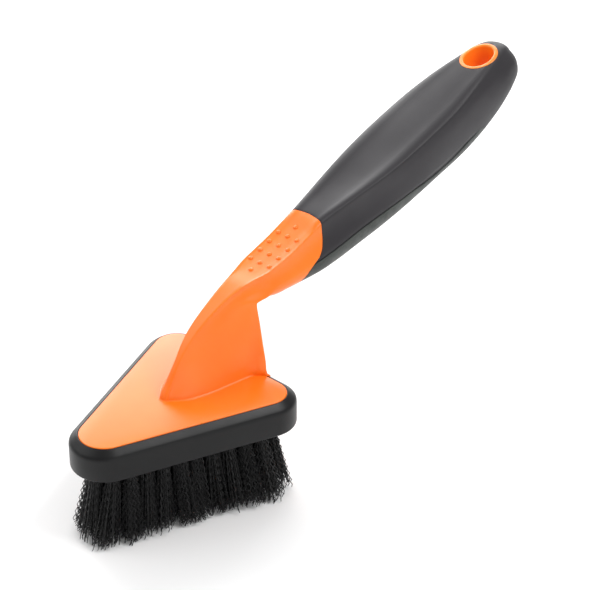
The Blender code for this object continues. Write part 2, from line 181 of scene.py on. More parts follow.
# Neck rings: ridge x, z and half width, and how far its middle stands forward; back edge
# x, half width, z; back middle x, z; how far the side has turned from wedge into flank
NECK_RINGS = (
    ((62.7, 1.1, 2.3, 1.4), (103.9, 18.2, 1.1), (103.9, 1.1), 0.00),
    ((65.4, 5.8, 2.0, 1.1), (104.5, 16.8, 5.8), (104.6, 5.8), 0.10),
    ((69.9, 13.2, 1.6, 0.7), (105.3, 14.5, 13.2), (105.4, 13.2), 0.30),
    ((78.1, 23.6, 2.3, 0.3), (106.6, 11.5, 21.8), (106.7, 21.0), 0.50),
    ((89.1, 30.8, 3.1, 0.0), (107.45, 9.3, 28.0), (107.8, 26.2), 0.70),
    ((96.5, 34.3, 3.8, 0.0), (107.95, 9.05, 28.9), (108.7, 27.1), 0.82),
    ((103.0, 36.6, 4.6, 0.0), (109.8, 9.2, 29.25), (111.6, 26.5), 0.94),
    ((109.6, 38.2, 5.9, 0.0), (113.3, 9.7, 29.75), (115.5, 25.75), 1.00),
)
# The points of a ring down its side, as a wedge and as a flank: along and across from the
# ridge to the back edge; then the ridge's round, its edge, and the steps across the back
WEDGE_SIDE = ((0.114, 0.24), (0.35, 0.476), (0.68, 0.62), (0.884, 0.73))
FLANK_SIDE = ((0.25, 0.00), (0.51, 0.21), (0.78, 0.73), (0.895, 0.94))
RIDGE_ROUND = ((0.0, 1.0), (0.5, 0.84), (0.86, 0.42))
RIDGE_EDGE = (0.2, 0.12)
BACK_STEPS = (0.0, 0.07, 0.38, 0.70, 1.0)
# Cove at the foot of the neck: height, and how far it stands out of the wedge
COVE = ((-0.8, 1.7), (0.0, 1.15), (0.14, 0.72), (0.42, 0.30))
COVE_FRONT_SHARE = 1.2
NECK_MIDDLE_X = 84.0

# Columns are counted down half the skin, from the middle of the crown to the belly's. The
# flank is widest at one of them, and from another the grip's are gathered above the pad
BELLY = 12
WIDEST = 8
GATHERED_FROM = 6
# Where the orange ends on each column of the skin, and the pad's upper line: its column at s
SEAM_LINE = ((0.0, 35.7), (0.8, 35.4), (1.6, 34.8), (2.4, 34.15), (3.0, 33.75), (3.87, 33.0),
             (4.87, 31.1), (5.5, 28.9), (6.07, 25.6), (6.8, 22.4), (8.0, 18.9), (8.6, 16.95),
             (9.33, 14.6), (11.0, 12.6), (12.0, 12.0))
PAD_LINE = ((5.0, 6.9), (22.0, 6.9), (36.0, 7.0), (52.0, 6.95), (60.0, 7.1), (68.0, 7.35),
            (76.0, 7.7), (85.0, 8.1), (93.0, 8.4), (102.0, 8.55), (110.0, 8.5), (118.0, 8.3),
            (126.0, 8.2), (140.0, 8.2))
PAD_END = 137.0
PAD_ROUND = 9.0
# Columns to a millimetre at that line, and how far the pad's end is held back from the grip
COLUMNS_PER_MM = 0.25
PAD_BACK = 0.25
# Past this place the rows of the grip and pad no longer slant with the seam
SQUARE_FROM = 60.0
# How far the grip rolls in along the pad, towards a line this far under the top line, and
# how far before the pad's end the roll runs out
GRIP_ROLL = 0.45
GRIP_ROLL_COLUMNS = 1.1
GRIP_MIDDLE = 13.0
ROLL_ENDS = (20, 6)


def smooth(low, high, value):
    """0 up to low, 1 from high on, and a soft rise between them."""
    share = np.clip((value - low) / (high - low), 0, 1)
    return share * share * (3 - 2 * share)


# ---------------------------------------------------------------- curves and the skin

def through(knots, values, places):
    """A smooth line through the values at their knots, read at the places."""
    step = np.diff(knots).reshape(-1, *[1] * (values.ndim - 1))
    slope = np.diff(values, axis=0) / step
    inner = (slope[:-1] * step[1:] + slope[1:] * step[:-1]) / (step[1:] + step[:-1])
    tangent = np.concatenate([slope[:1], inner, slope[-1:]])
    i = np.clip(np.searchsorted(knots, places, side="right") - 1, 0, len(knots) - 2)
    h = step[i]
    t = (places - knots[i]).reshape(h.shape) / h
    return (values[i] * (1 + 2 * t) * (1 - t) ** 2 + tangent[i] * h * t * (1 - t) ** 2
            + values[i + 1] * t * t * (3 - 2 * t) + tangent[i + 1] * h * t * t * (t - 1))


def read_line(line, places):
    """The values of a line of (knot, value) pairs at the places."""
    knots, values = np.array(line).T
    places = np.asarray(places, float)
    return through(knots, values, places.ravel()).reshape(places.shape)


def handle_to_brush(s, y, w):
    """Brings points from the handle's frame into the brush's."""
    cos, sin = math.cos(HANDLE_SLOPE), math.sin(HANDLE_SLOPE)
    return np.stack([HANDLE_X + s * cos - w * sin, y, HANDLE_RISE + s * sin + w * cos], -1)


def brush_to_handle(points):
    """Brings points from the brush's frame into the handle's."""
    cos, sin = math.cos(HANDLE_SLOPE), math.sin(HANDLE_SLOPE)
    x, z = points[..., 0] - HANDLE_X, points[..., 2] - HANDLE_RISE
    return x * cos + z * sin, points[..., 1], -x * sin + z * cos


def handle_ring(station):
    """Half a ring of the handle, in its frame's section at a station."""
    along, top, crown, belly, depth = station
    crown, belly = crown * CROWN_HALF_WIDTH, belly * BELLY_HALF_WIDTH
    rounded, swollen = smooth(*ROUNDS, along), smooth(*SWELLS, along)
    shares = np.array(SECTION_SHARES) * (1 - swollen) + np.array(SWELL_SHARES) * swollen
    shares = shares * (1 - rounded) + np.array(TAIL_SHARES) * rounded
    y = shares[:, 0] * crown + shares[:, 1] * belly
    hollow = CROWN_DISH * smooth(*DISHES, along) * (1 - RISE_SHARE * smooth(*RISES, along))
    dish = hollow * np.clip(1 - (y / crown) ** 2, 0, 1)
    dish[3:] = 0
    w = top * HANDLE_DEPTH - shares[:, 2] * (depth * HANDLE_DEPTH) - dish
    return handle_to_brush(np.full(len(y), along * HANDLE_LENGTH), y, w)


def neck_ring(ridge, edge, back, turned, cove=0.0):
    """Half a ring of the neck, in as many points as a section of the handle."""
    x, z, width, forward = ridge
    ring = [(x - share * forward, across * width, z) for across, share in RIDGE_ROUND]
    ring.append((x + RIDGE_EDGE[0], width, z - RIDGE_EDGE[1]))
    for wedge, flank in zip(WEDGE_SIDE, FLANK_SIDE):
        a = wedge[0] + (flank[0] - wedge[0]) * turned
        b = wedge[1] + (flank[1] - wedge[1]) * turned
        ring.append((x + (edge[0] - x) * a, width + (edge[1] - width) * b, z + (edge[2] - z) * a))
    for a in BACK_STEPS:
        ring.append((edge[0] + (back[0] - edge[0]) * a, edge[1] * (1 - a),
                     edge[2] + (back[1] - edge[2]) * a))
    ring = np.array(ring)
    out = ring - (NECK_MIDDLE_X, 0, 0)
    out[:, 2] = 0
    length = np.linalg.norm(out * (COVE_FRONT_SHARE, 1, 1), axis=1, keepdims=True)
    return ring + out / np.maximum(length, 1e-6) * cove


def control_rings():
    """All rings from the cove to the tail, with a mirrored point past each end of a ring."""
    (x, _, width, forward), (edge_x, edge_y, _), (back_x, _), turned = NECK_RINGS[0]
    rings = [neck_ring((x, height, width, forward), (edge_x, edge_y, height),
                       (back_x, height), turned, cove) for height, cove in COVE]
    rings += [neck_ring(*ring) for ring in NECK_RINGS]
    rings += [handle_ring(station) for station in HANDLE_SHARES]
    tail = rings[-1].mean(axis=0) * (1, 0, 1)
    rings.append(np.tile(tail, (len(SECTION_SHARES), 1)))
    rings = np.array(rings)
    mirror = np.array([1, -1, 1])
    return np.concatenate([rings[:, 1:2] * mirror, rings, rings[:, -2:-1] * mirror], axis=1)


RINGS = control_rings()
STATIONS = np.concatenate(
    [[0], np.cumsum(np.linalg.norm(np.diff(RINGS[:, 1:-1], axis=0), axis=2).mean(axis=1))])
FOOT, CORNER, SHOULDER = STATIONS[len(COVE)], STATIONS[len(COVE) + 4], STATIONS[len(COVE) + 8]


def on_skin(u, c):
    """Points of the skin, u along it and c columns round it, with the thumb rest's dish."""
    u, c = np.broadcast_arrays(np.asarray(u, float), np.asarray(c, float))
    shape = u.shape
    u, c = u.ravel(), c.ravel()
    rings = through(STATIONS, RINGS, u)
    step = np.maximum(np.linalg.norm(np.diff(rings, axis=1), axis=2, keepdims=True), 1e-5)
    slope = np.diff(rings, axis=1) / step
    tangent = slope[:, :-1] * step[:, 1:] + slope[:, 1:] * step[:, :-1]
    tangent /= step[:, 1:] + step[:, :-1]
    # The crown's edge turns short, so that the flank below it sets off straight, but not
    # at the tail
    turn = (1 - smooth(STATIONS[-7], STATIONS[-5], u))[:, None]
    tangent[:, 3] += (slope[:, 4] - tangent[:, 3]) * turn
    i = np.clip(c.astype(int), 0, BELLY - 1)
    t = (c - i)[:, None]
    k = np.arange(len(u))
    h = step[k, i + 1]
    points = (rings[k, i + 1] * (1 + 2 * t) * (1 - t) ** 2 + tangent[k, i] * h * t * (1 - t) ** 2
              + rings[k, i + 2] * t * t * (3 - 2 * t) + tangent[k, i + 1] * h * t * t * (t - 1))
    s, y, w = brush_to_handle(points)
    dish = THUMB_DEPTH * smooth(*THUMB_FRONT, s) * (1 - smooth(*THUMB_BACK, s))
    w = w - dish * (1 - smooth(*THUMB_SIDES, c))
    return handle_to_brush(s, y, w).reshape(*shape, 3)


# Stations along the flank's widest column, and the s that each reaches
FLANK_STATIONS = np.linspace(SHOULDER - 8.0, STATIONS[-1], 4000)
FLANK_REACHED = brush_to_handle(on_skin(FLANK_STATIONS, WIDEST))[0]


def station_at(s):
    """The station along the skin that lies at s, in the handle's frame."""
    return np.interp(s, FLANK_REACHED, FLANK_STATIONS)


def pad_column(u, drop=0.0):
    """The column where the pad's upper line runs at each station, or a little below it."""
    s = np.interp(u, FLANK_STATIONS, FLANK_REACHED)
    share = np.clip((s - (PAD_END - PAD_ROUND)) / (PAD_ROUND - drop), 0, 1)
    column = read_line(PAD_LINE, np.clip(s, PAD_LINE[0][0], PAD_LINE[-1][0]))
    column += drop * COLUMNS_PER_MM
    return BELLY - (BELLY - column) * np.sqrt(1 - share ** 2)


# ---------------------------------------------------------------- mesh helpers

# Closest that two points of a net stay apart, and the turn up to which faces shade as one
WELD = 0.004
SMOOTH_BELOW = 38.0


def net(rows, columns, place, closed=False):
    """A net of faces, moved to where place says for each row and column number."""
    bm = bmesh.new()
    bmesh.ops.create_grid(bm, x_segments=columns, y_segments=rows, size=0.5)
    at = np.array([vert.co for vert in bm.verts])
    row = np.rint((at[:, 1] + 0.5) * rows).astype(int)
    column = np.rint((at[:, 0] + 0.5) * columns).astype(int)
    for vert, point in zip(bm.verts, place(row, column)):
        vert.co = point
    if closed:
        bmesh.ops.remove_doubles(bm, verts=bm.verts, dist=WELD)
    return bm


def face_out(bm):
    """Turns the faces of an open shell away from the handle's middle."""
    bmesh.ops.recalc_face_normals(bm, faces=bm.faces)
    bm.normal_update()
    widest = max(bm.faces, key=lambda face: abs(face.calc_center_median().y))
    if widest.normal.y * widest.calc_center_median().y < 0:
        bmesh.ops.reverse_faces(bm, faces=bm.faces)


def as_piece(mesh, name, material, nodes):
    """Makes a mesh a piece of the brush, in place of its CAD nodes."""
    mesh.materials.append(material)
    piece = bpy.data.objects.new(name, mesh)
    bpy.context.scene.collection.objects.link(piece)
    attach(piece, "root")
    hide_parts(*nodes)
    return piece


def finished(bm, name, material, nodes, angle=SMOOTH_BELOW, open_shell=False):
    """Brings a piece into the row frame, with its faces out and its edges smoothed."""
    if open_shell:
        face_out(bm)
    else:
        bmesh.ops.recalc_face_normals(bm, faces=bm.faces)
    bmesh.ops.transform(bm, matrix=INTO_ROW, verts=bm.verts)
    mesh = bpy.data.meshes.new(name)
    bm.to_mesh(mesh)
    bm.free()
    mesh.shade_smooth()
    mesh.set_sharp_from_angle(angle=math.radians(angle))
    return as_piece(mesh, name, material, nodes)


def thicken(piece, wall):
    """Gives an open shell its wall, inward."""
    solid = piece.modifiers.new("wall", "SOLIDIFY")
    solid.thickness = wall * MM
    solid.offset = -1


def round_edges(piece, width, segments=2, angle=50):
    """Rounds the edges of a piece that turn by more than an angle."""
    bevel = piece.modifiers.new("edges", "BEVEL")
    bevel.width = width * MM
    bevel.segments = segments
    bevel.limit_method = "ANGLE"
    bevel.angle_limit = math.radians(angle)


def cut(piece, cutter_bm):
    """Takes a shape out of a piece, once its other modifiers have run."""
    bmesh.ops.recalc_face_normals(cutter_bm, faces=cutter_bm.faces)
    bmesh.ops.transform(cutter_bm, matrix=INTO_ROW, verts=cutter_bm.verts)
    shape = bpy.data.meshes.new("cutter")
    cutter_bm.to_mesh(shape)
    cutter_bm.free()
    cutter = bpy.data.objects.new("cutter", shape)
    bpy.context.scene.collection.objects.link(cutter)
    boolean = piece.modifiers.new("cut", "BOOLEAN")
    boolean.operation, boolean.solver, boolean.object = "DIFFERENCE", "EXACT", cutter
    whole = piece.data
    piece.data = bpy.data.meshes.new_from_object(
        piece.evaluated_get(bpy.context.evaluated_depsgraph_get()))
    piece.data.name = piece.name
    piece.modifiers.clear()
    piece.data.shade_smooth()
    piece.data.set_sharp_from_angle(angle=math.radians(SMOOTH_BELOW))
    # The cutter goes with its mesh
    for spare in (whole, shape):
        bpy.data.meshes.remove(spare)


def head_loop(bm, inset, nose, heel, level):
    """The edges of the head's rounded triangle at a level, moved in by inset."""
    half_angle = math.atan2(PLATE_HALF_BASE, PLATE_LENGTH)
    nose_x = (inset + nose) / math.sin(half_angle)
    heel_x = PLATE_LENGTH - inset - heel
    heel_y = (PLATE_LENGTH * math.sin(half_angle) - inset - heel) / math.cos(half_angle)
    heel_y -= (inset + heel) * math.tan(half_angle)
    side = math.pi / 2 - half_angle
    rounds = ((nose_x, 0.0, nose, math.pi - side, 2 * side, NOSE_STEPS),
              (heel_x, -heel_y, heel, -side - 2 * half_angle, side + 2 * half_angle,
               HEEL_STEPS),
              (heel_x, heel_y, heel, 0.0, side + 2 * half_angle, HEEL_STEPS))
    before, ends = set(bm.edges), []
    for x, y, radius, start, sweep, steps in rounds:
        first = bm.verts.new((x + radius * math.cos(start), y + radius * math.sin(start), level))
        spun = bmesh.ops.spin(bm, geom=[first], cent=(x, y, level), axis=(0, 0, 1),
                              angle=sweep, steps=steps)
        ends.append((first, spun["geom_last"][0]))
    for (_, last), (first, _) in zip(ends, ends[1:] + ends[:1]):
        bm.edges.new((last, first))
    return [edge for edge in bm.edges if edge not in before]


def plate_loop(bm, outset, level):
    """The edges of the plate's outline at a level, grown by outset."""
    return head_loop(bm, -outset, NOSE_RADIUS + outset, HEEL_RADIUS + outset, level)


def bridged(bm, loops):
    """Joins loops of edges in turn, and the last one to the first."""
    for lower, upper in zip(loops, loops[1:] + loops[:1]):
        bmesh.ops.bridge_loops(bm, edges=lower + upper)


# ---------------------------------------------------------------- materials

def colour(text):
    """An sRGB hex colour as linear numbers."""
    parts = [int(text[i:i + 2], 16) / 255 for i in (0, 2, 4)]
    return [c / 12.92 if c <= 0.04045 else ((c + 0.055) / 1.055) ** 2.4 for c in parts] + [1.0]


def add(tree, kind, links=(), **settings):
    """Adds a node with its settings and socket values, and joins what feeds it."""
    made = tree.nodes.new(kind)
    for key, value in settings.items():
        if hasattr(made, key):
            setattr(made, key, value)
        else:
            made.inputs[key.replace("_", " ")].default_value = value
    for socket, source in links:
        tree.links.new(source, made.inputs[socket])
    return made


def moulded(name, tints, roughness, swing, ior, specular, grain_mm, height_mm, cloud_mm,
            sheen=0.0, glow=0.0):
    """A moulded surface: a fine grain, and slow drifts of its colour and gloss."""
    material = bpy.data.materials.new(name)
    material.use_nodes = True
    tree = material.node_tree
    shader = tree.nodes["Principled BSDF"]
    for socket, value in (("IOR", ior), ("Specular IOR Level", specular), ("Sheen Weight", sheen),
                          ("Sheen Roughness", 0.45), ("Subsurface Weight", glow),
                          ("Subsurface Radius", (1.0, 0.35, 0.12)), ("Subsurface Scale", 0.002)):
        shader.inputs[socket].default_value = value
    at = add(tree, "ShaderNodeTexCoord").outputs["Object"]
    cloud = add(tree, "ShaderNodeTexNoise", [("Vector", at)], Scale=1 / (cloud_mm * MM),
                Detail=3.0, Roughness=0.55)
    tint = add(tree, "ShaderNodeValToRGB", [("Fac", cloud.outputs["Fac"])])
    for stop, place, text in zip(tint.color_ramp.elements, (0.35, 0.65), tints):
        stop.position, stop.color = place, colour(text)
    grain = add(tree, "ShaderNodeTexNoise", [("Vector", at)], Scale=1 / (grain_mm * MM),
                Detail=2.0, Roughness=0.6)
    gloss = add(tree, "ShaderNodeMapRange", [("Value", cloud.outputs["Fac"])], From_Min=0.3,
                From_Max=0.7, To_Min=roughness - swing, To_Max=roughness + swing)
    bump = add(tree, "ShaderNodeBump", [("Height", grain.outputs["Fac"])],
               Distance=height_mm * MM)
    tree.links.new(tint.outputs["Color"], shader.inputs["Base Color"])
    tree.links.new(gloss.outputs["Result"], shader.inputs["Roughness"])
    tree.links.new(bump.outputs["Normal"], shader.inputs["Normal"])
    return material


def build_materials():
    """The looks of the mouldings and the filaments."""
    made = {}
    # Injection-moulded polypropylene: a clean, warm orange with a satin skin, which mirrors
    # the room softly and glows a little at its thin edges. Fine spark-eroded grain, 0.35 mm
    made["orange"] = moulded(
        "satin_orange_polypropylene", ("FF7D1A", "FF7510"), roughness=0.34, swing=0.03, ior=1.49,
        specular=0.46, grain_mm=0.35, height_mm=0.006, cloud_mm=30.0, glow=0.03)
    # The same orange where it lines the hang hole: yellower, against the light it bounces
    made["lining"] = moulded(
        "satin_orange_polypropylene_lining", ("FA8A24", "F4841C"), roughness=0.36, swing=0.03,
        ior=1.49, specular=0.5, grain_mm=0.35, height_mm=0.006, cloud_mm=30.0)
    # Overmoulded thermoplastic elastomer: dark grey, soft to the touch, with a faint dusty
    # sheen towards its edges and a fine 0.3 mm grain that spreads the highlights
    made["grip"] = moulded(
        "charcoal_soft_touch_elastomer", ("312F32", "2D2B2E"), roughness=0.46, swing=0.04,
        ior=1.50, specular=0.26, grain_mm=0.30, height_mm=0.010, cloud_mm=25.0, sheen=0.02)
    # The same elastomer from a sanded mould face: a 0.55 mm grain deep enough to see, which
    # takes the gloss off, and a grey that turns a little green
    made["pad"] = moulded(
        "sanded_grey_green_elastomer", ("3C403D", "323633"), roughness=0.58, swing=0.08,
        ior=1.50, specular=0.4, grain_mm=0.55, height_mm=0.060, cloud_mm=5.0, sheen=0.1)
    # Carbon-filled rubber, moulded round the head: near black, a soft wide highlight
    made["bumper"] = moulded(
        "black_moulded_rubber", ("0F0F10", "0D0D0E"), roughness=0.40, swing=0.04, ior=1.52,
        specular=0.26, grain_mm=0.30, height_mm=0.010, cloud_mm=20.0)
    # Crimped nylon filament, black right through: dull, with thin waxy glints on the crimps
    made["filament"] = moulded(
        "black_nylon_filament", ("060607", "040405"), roughness=0.30, swing=0.06, ior=1.53,
        specular=0.36, grain_mm=0.80, height_mm=0.004, cloud_mm=6.0)
    return made


# ---------------------------------------------------------------- pieces

# Steps of each column round the skin, and the columns' places round half of it
SUBDIVISIONS = (3, 3, 4, 4, 4, 4, 4, 3, 3, 4, 3, 3)
HALF_COLUMNS = np.concatenate(
    [j + np.arange(n) / n for j, n in enumerate(SUBDIVISIONS)] + [[BELLY]])
HALF = len(HALF_COLUMNS) - 1


def spaced(*marks):
    """Places between marks, each mark given with the number of steps to the next."""
    parts = [np.linspace(low, high, steps, endpoint=False)
             for (low, steps), (high, _) in zip(marks, marks[1:])]
    return np.concatenate(parts + [[marks[-1][0]]])


def build_plate(materials):
    """The orange head: its flat top, and the underside drilled for the tufts."""
    bm = bmesh.new()
    bmesh.ops.holes_fill(bm, edges=plate_loop(bm, 0.0, 0.0), sides=0)
    under = bmesh.ops.extrude_face_region(bm, geom=list(bm.faces))["geom"]
    bmesh.ops.translate(bm, vec=(0, 0, -PLATE_THICK),
                        verts=[item for item in under if isinstance(item, bmesh.types.BMVert)])
    bmesh.ops.recalc_face_normals(bm, faces=bm.faces)
    # The edges of the top, which lies at 0, are rounded
    rim = [edge for edge in bm.edges if all(vert.co.z > -0.01 for vert in edge.verts)]
    bmesh.ops.bevel(bm, geom=rim, offset=PLATE_EDGE, segments=3, profile=0.5,
                    affect="EDGES", material=-1)
    plate = finished(bm, "head_plate", materials["orange"], ["body"])
    drill = bmesh.new()
    for root, _ in tuft_places():
        where = Matrix.Translation((*root, -PLATE_THICK))
        bmesh.ops.create_cone(drill, cap_ends=True, segments=20, radius1=HOLE_RADIUS,
                              radius2=HOLE_RADIUS, depth=2 * HOLE_DEPTH, matrix=where)
    cut(plate, drill)
    return plate


def build_neck(materials):
    """Neck, thumb rest and the start of the tang, up to the seam with the grip."""
    # Rows run square up to s = 4, closest at the corner between the neck's back and the
    # handle's belly, and from there they fan out to the seam
    lower = spaced((0.0, 14), (FOOT, 36), (CORNER - 2.5, 18), (CORNER + 6.0, 14),
                   (station_at(4.0), 0))
    upper = np.linspace(0, 1, 37)[1:]
    rows = len(lower) + len(upper) - 1
    seam = station_at(read_line(SEAM_LINE, HALF_COLUMNS))

    def place(row, column):
        index = np.where(column <= HALF, column, 2 * HALF - column)
        past = upper[np.clip(row - len(lower), 0, len(upper) - 1)]
        u = np.where(row < len(lower), lower[np.clip(row, 0, len(lower) - 1)],
                     lower[-1] + (seam[index] - lower[-1]) * past)
        points = on_skin(u, HALF_COLUMNS[index])
        points[:, 1] *= np.where(column <= HALF, -1, 1)
        return points

    bm = net(rows, 2 * HALF, place, closed=True)
    # The shell is open at its foot and, well above that, at the seam
    seam_edges = [edge for edge in bm.edges if edge.is_boundary and edge.verts[0].co.z > 10]
    lip = bmesh.ops.extrude_edge_only(bm, edges=seam_edges)["geom"]
    verts = [item for item in lip if isinstance(item, bmesh.types.BMVert)]
    middle = sum((vert.co for vert in verts), Vector()) / len(verts)
    for vert in verts:
        vert.co += (middle - vert.co).normalized() * SEAM_LIP
    bmesh.ops.holes_fill(bm, edges=[edge for edge in bm.edges if edge.is_boundary], sides=0)
    neck = finished(bm, "neck_and_thumb_rest", materials["orange"], ["body"])
    round_edges(neck, width=0.12)
    return neck


# Places round the tail end of the pad, a quarter circle each side
PAD_TURN = PAD_END - PAD_ROUND + PAD_ROUND * np.sin(np.linspace(0, math.pi / 2, 15))


def open_hang_hole(bm):
    """Opens the shell above and below the hang hole, with its edge under the lining's lip."""
    length = EYE_HALF_LENGTH + EYE_WALL - EYE_LAP
    width = EYE_HALF_WIDTH + EYE_WALL - EYE_LAP

    def away(point):
        s, y, _ = brush_to_handle(np.array(point))
        return math.hypot((s - EYE_X) / length, y / width)

    inside = [face for face in bm.faces if away(face.calc_center_median()) < 1.0]
    bmesh.ops.delete(bm, geom=inside, context="FACES")
    # The ragged edge of each opening is drawn to the oval
    for vert in bm.verts:
        if vert.is_boundary and 0.5 < away(vert.co) < 1.5:
            s, y, w = brush_to_handle(np.array(vert.co))
            share = away(vert.co)
            vert.co = handle_to_brush(EYE_X + (s - EYE_X) / share, y / share, w)


def build_grip(materials):
    """The soft shell, from the seam to the tail, open below where the pad is let in."""
    start = station_at(read_line(SEAM_LINE, HALF_COLUMNS) + SEAM_GAP * 2)
    front = np.linspace(0, 1, 25, endpoint=False)
    rest = np.concatenate([
        np.linspace(station_at(SQUARE_FROM), station_at(PAD_TURN[0]), 70, endpoint=False),
        station_at(PAD_TURN[:-1]),
        spaced((station_at(PAD_END), 24), (STATIONS[-2] - 1.5, 8), (STATIONS[-2], 3),
               (STATIONS[-1], 0))])
    rows = len(front) + len(rest) - 1

    def place(row, column):
        index = HALF - np.where(column <= HALF, column, 2 * HALF - column)
        early = start[index] + (rest[0] - start[index]) * front[np.clip(row, 0, len(front) - 1)]
        u = np.where(row < len(front), early, rest[np.clip(row - len(front), 0, len(rest) - 1)])
        line = pad_column(u)
        c = HALF_COLUMNS[index]
        low = (c - GATHERED_FROM) / (BELLY - GATHERED_FROM)
        c = np.where(c > GATHERED_FROM, GATHERED_FROM + low * (line - GATHERED_FROM), c)
        s, y, w = brush_to_handle(on_skin(u, c))
        rolled = np.clip((c - line) / GRIP_ROLL_COLUMNS + 1, 0, 1) ** 2
        rolled *= 1 - smooth(*[PAD_END - end for end in ROLL_ENDS], s)
        reach = np.hypot(y, w + GRIP_MIDDLE) + 1e-6
        roll = GRIP_ROLL * rolled / reach
        sign = np.where(column <= HALF, -1, 1)
        return handle_to_brush(s, sign * y * (1 - roll), w - (w + GRIP_MIDDLE) * roll)

    bm = net(rows, 2 * HALF, place, closed=True)
    open_hang_hole(bm)
    grip = finished(bm, "grip_shell", materials["grip"], ["grip"], open_shell=True)
    thicken(grip, SHELL)
    round_edges(grip, width=0.15)
    return grip


def build_pad(materials):
    """The strip let into the underside, standing a little proud of the rolled grip."""
    rows, half = 126, 18
    last = np.concatenate([np.linspace(SQUARE_FROM, PAD_TURN[0], 74, endpoint=False),
                           PAD_TURN - PAD_BACK])
    front = np.linspace(0, 1, rows + 1 - len(last), endpoint=False)

    def place(row, column):
        side = np.abs(column - half) / half
        share = front[np.clip(row, 0, len(front) - 1)]
        s = np.where(row < len(front), 20.0, last[np.clip(row - len(front), 0, len(last) - 1)])
        # The seam's place depends on the column and the column on the place, so both settle
        for _ in range(12):
            c = BELLY - (BELLY - pad_column(station_at(s), SEAM_GAP * 2)) * side
            first = read_line(SEAM_LINE, c) + SEAM_GAP * 2
            s = np.where(row < len(front), first + (SQUARE_FROM - first) * share, s)
        points = on_skin(station_at(s), c)
        points[:, 1] *= np.where(column <= half, -1, 1)
        return points

    bm = net(rows, 2 * half, place, closed=True)
    pad = finished(bm, "grip_underside_pad", materials["pad"], ["underside_pad"],
                   open_shell=True)
    thicken(pad, SHELL)
    round_edges(pad, width=0.4, segments=3)
    return pad


def build_bumper(materials):
    """The soft rim round the head: a sloped top that rolls into an upright wall."""
    profile = [(BUMPER_GAP, -3.0), (BUMPER_GAP, -13.0), (0.7, -BUMPER_HEIGHT)]
    profile += [(BUMPER_WALL - BUMPER_FOOT_ROUND * (1 - math.sin(a)),
                 -BUMPER_HEIGHT + BUMPER_FOOT_ROUND * (1 - math.cos(a)))
                for a in (math.pi / 10 * i for i in range(6))]
    profile += [(BUMPER_WALL, -9.0), *BUMPER_SLOPE]
    bm = bmesh.new()
    bridged(bm, [plate_loop(bm, outset, level) for outset, level in profile])
    return finished(bm, "head_bumper_rim", materials["bumper"], ["head_bumper"])


def oval_loop(bm, growth, height):
    """The edges of an oval round the hang hole, grown from it, at the heights given."""
    before = set(bm.edges)
    for vert in bmesh.ops.create_circle(bm, segments=96, radius=1.0)["verts"]:
        s = EYE_X + (EYE_HALF_LENGTH + growth) * vert.co.x
        y = (EYE_HALF_WIDTH + growth) * vert.co.y
        vert.co = handle_to_brush(np.float64(s), y, height(s, y))
    return [edge for edge in bm.edges if edge not in before]


def build_eye(materials, skin):
    """The oval lining of the hang hole, with its rounded lips."""
    bm = bmesh.new()
    loops = [oval_loop(bm, growth, lambda s, y: skin(s, y) + lift) for growth, lift in EYE_LIPS]
    loops += [oval_loop(bm, growth, lambda s, y: skin(s, y, False) - lift)
              for growth, lift in reversed(EYE_LIPS)]
    bridged(bm, loops)
    return finished(bm, "hang_hole_lining", materials["lining"], ["body"])


def skin_heights():
    """A lookup of the skin's height at a place of the handle, met from above or below."""
    rows, steps = 400, 8
    half = BELLY * steps
    stations = np.linspace(station_at(THUMB_FRONT[0]), STATIONS[-1], rows + 1)

    def place(row, column):
        points = on_skin(stations[row], np.abs(column - half) / steps)
        points[:, 1] *= np.where(column <= half, -1, 1)
        return np.stack(brush_to_handle(points), -1)

    bm = net(rows, 2 * half, place)
    tree = BVHTree.FromBMesh(bm)
    bm.free()

    def height(s, y, upper=True):
        side = 1 if upper else -1
        start = Vector((s, y, 60.0 * side))
        return tree.ray_cast(start, Vector((0, 0, -side)))[0].z

    return height


def build_dots(materials, skin):
    """The low domes in staggered rows across the thumb rest."""
    bm = bmesh.new()
    places = [(DOT_START + DOT_PITCH * row, DOT_COLUMN * column + DOT_ASIDE)
              for row in range(4) for column in (-1, 0, 1)]
    for s, y in places + list(DOT_ENDS):
        low = skin(s, y)
        ahead = skin(s + 0.5, y) - skin(s - 0.5, y)
        aside = skin(s, y + 0.5) - skin(s, y - 0.5)
        ball = bmesh.ops.create_uvsphere(bm, u_segments=16, v_segments=10, radius=DOT_RADIUS)
        for vert in ball["verts"]:
            x, across, up = vert.co
            rise = low + ahead * x + aside * across + up * DOT_HEIGHT_SHARE
            vert.co = handle_to_brush(np.float64(s + x), y + across, rise)
    return finished(bm, "thumb_rest_dots", materials["orange"], ["body"],
                    angle=60.0)


# Tufts: how many stand in each ring, where the rings run, and how far their ends flare out
TUFT_RING_COUNTS = (30, 17, 7)
TUFT_INSET = 5.2
TUFT_RING_STEP = 8.0
TUFT_HEEL_ROUND = 7.0
TUFT_RING_ROUND = 0.6
FLARE_REACH = 4.9
FLARE_RING_SHARE = 0.62
FLARE_HEEL_SHARE = 1.3
# Filaments: 0.4 mm thick, a little coarser than real ones, so that they show. Each runs
# straight out of its hole, then crimps, and stops just clear of the ground
STRANDS = 96
STRAND_PARTS = 20
STRAND_RADIUS = 0.2
STRAND_START = -9.0
STRAND_REACH = 38.0
STRAND_STRAIGHT = 3.0
STRAND_CLEAR = 0.02
FIRST_PART_SHARE = 0.12
BUNDLE_RADIUS = 2.0
GOLDEN_ANGLE = 2.39996
# How unevenly they are trimmed, spread, lean and crimp
TRIM = 1.6
RAGGED = 6.5
RAGGED_POWER = 2.4
SPREAD = 1.6
SPREAD_RANGE = (-0.5, 0.3)
SPREAD_POWER = 0.8
LEAN_POWER = 1.3
WANDER = 0.7
WANDER_MOST = 1.6
CRIMP = (0.34, 0.62)
CRIMP_TURN = 0.45


